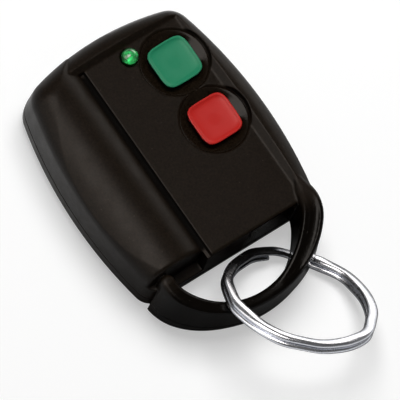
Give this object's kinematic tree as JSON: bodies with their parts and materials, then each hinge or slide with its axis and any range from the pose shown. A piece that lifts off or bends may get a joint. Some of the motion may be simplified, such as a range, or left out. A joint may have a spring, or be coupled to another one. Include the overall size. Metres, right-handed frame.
{
  "type": "key ring remote transmitter",
  "caption": "Key-ring remote transmitter: rounded two-part case with battery ridge, recessed panel, two square push buttons, signal lamp and key loop with a split ring.",
  "frame": {"origin": "On the flat back of the case, below the middle of the body", "axes": "+Z out of the front, +Y from the key loop to the lamp, +X from the battery ridge to the buttons"},
  "size_m": [0.0386, 0.071, 0.0178],
  "materials": {
    "housing_plastic": "fine satin moulding",
    "green_plastic": "smooth satin",
    "red_plastic": "smooth satin",
    "lamp_plastic": "clear tinted epoxy",
    "tinned_steel": "tinned",
    "board_laminate": "lacquered laminate",
    "switch_plastic": "plain moulding",
    "plunger_plastic": "plain moulding",
    "spring_steel": "nickel plated",
    "battery_case": "plain printed sleeve, without print",
    "chip_plastic": "moulded epoxy",
    "trimmer_plastic": "ceramic",
    "brass_metal": "plain",
    "ceramic_tan": "ceramic",
    "copper_wire": "enamelled copper",
    "screw_steel": "blackened zinc",
    "ring_steel": "bright nickel plating"
  },
  "bodies": {
    "housing": {"front_shell": "housing_plastic", "rear_shell": "housing_plastic", "signal_lamp": "lamp_plastic", "lamp_leads": "tinned_steel", "circuit_board": "board_laminate", "green_switch_body": "switch_plastic", "red_switch_body": "switch_plastic", "green_switch_dome": "spring_steel", "red_switch_dome": "spring_steel", "switch_terminals": "tinned_steel", "battery": "battery_case", "battery_cap": "spring_steel", "positive_contact": "spring_steel", "negative_contact": "spring_steel", "battery_spring": "spring_steel", "encoder_chip": "chip_plastic", "encoder_leads": "tinned_steel", "saw_resonator": "spring_steel", "trimmer_base": "trimmer_plastic", "chip_resistors": "chip_plastic", "chip_capacitors": "ceramic_tan", "rf_transistor": "chip_plastic", "transistor_leads": "tinned_steel", "antenna_wire": "copper_wire", "case_screws": "screw_steel"},
    "green_button": {"green_button": "green_plastic"},
    "red_button": {"red_button": "red_plastic"},
    "green_plunger": {"green_switch_plunger": "plunger_plastic"},
    "red_plunger": {"red_switch_plunger": "plunger_plastic"},
    "trimmer_rotor": {"trimmer_rotor": "brass_metal"},
    "key_ring": {"split_ring": "ring_steel"}
  },
  "joints": [
    {"name": "green_button_press", "type": "slide", "parent": "housing", "child": "green_button", "axis": [0, 0, -1], "range_m": [0, 0.0003], "stiffness_N_per_m": 1500, "springref_m": -0.0005, "deforming": ["green_switch_dome"]},
    {"name": "red_button_press", "type": "slide", "parent": "housing", "child": "red_button", "axis": [0, 0, -1], "range_m": [0, 0.0003], "stiffness_N_per_m": 1500, "springref_m": -0.0005, "deforming": ["red_switch_dome"]},
    {"name": "green_plunger_press", "type": "slide", "parent": "housing", "child": "green_plunger", "axis": [0, 0, -1], "range_m": [0, 0.0005]},
    {"name": "red_plunger_press", "type": "slide", "parent": "housing", "child": "red_plunger", "axis": [0, 0, -1], "range_m": [0, 0.0005]},
    {"name": "trimmer_turn", "type": "hinge", "parent": "housing", "child": "trimmer_rotor", "pos_m": [0.0072, -0.0106, 0.0057], "axis": [0, 0, 1], "continuous": true},
    {"name": "ring_swing", "type": "hinge", "parent": "housing", "child": "key_ring", "pos_m": [0.00232, -0.02876, 0.00705], "axis": [0.8612, 0.0917, -0.4999], "range_deg": [-10, 20]}
  ],
  "couplings": [
    {"joint": "green_plunger_press", "follows": "green_button_press", "ratio": 1},
    {"joint": "red_plunger_press", "follows": "red_button_press", "ratio": 1}
  ]
}
